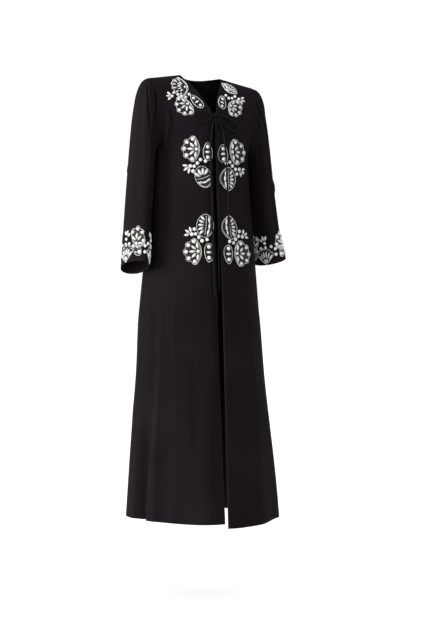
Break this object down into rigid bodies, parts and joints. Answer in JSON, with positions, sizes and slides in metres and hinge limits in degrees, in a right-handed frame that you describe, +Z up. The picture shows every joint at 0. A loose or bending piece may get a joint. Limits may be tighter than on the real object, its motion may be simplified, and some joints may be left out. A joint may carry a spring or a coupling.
{
  "type": "abaya cloak",
  "caption": "Long open-front black crepe abaya with straight sleeves, a cord bow at the chest and pearl bead flowers on its fronts and cuffs.",
  "frame": {"origin": "middle of the neck opening, level with the neck ends of the shoulder seams, where the wearer's shoulders hold it", "axes": "+Z up along the garment, +X towards the wearer's left, -Y out of the open front"},
  "size_m": [0.5353, 0.3906, 1.3712],
  "materials": {
    "crepe": "matte",
    "tie_cord": "satin",
    "beadwork": "pearl"
  },
  "bodies": {
    "root": {"front_right": "crepe", "front_left": "crepe", "back": "crepe", "sleeve_right": "crepe", "sleeve_left": "crepe", "beads_chest_right": "beadwork", "beads_chest_left": "beadwork", "beads_bust_right": "beadwork", "beads_bust_left": "beadwork", "beads_waist_right": "beadwork", "beads_waist_left": "beadwork", "beads_cuff_right": "beadwork", "beads_cuff_left": "beadwork", "tie_knot": "tie_cord", "tie_loop_right": "tie_cord", "tie_loop_left": "tie_cord", "tie_end_right": "tie_cord", "tie_end_middle": "tie_cord", "tie_end_left": "tie_cord"}
  },
  "joints": []
}
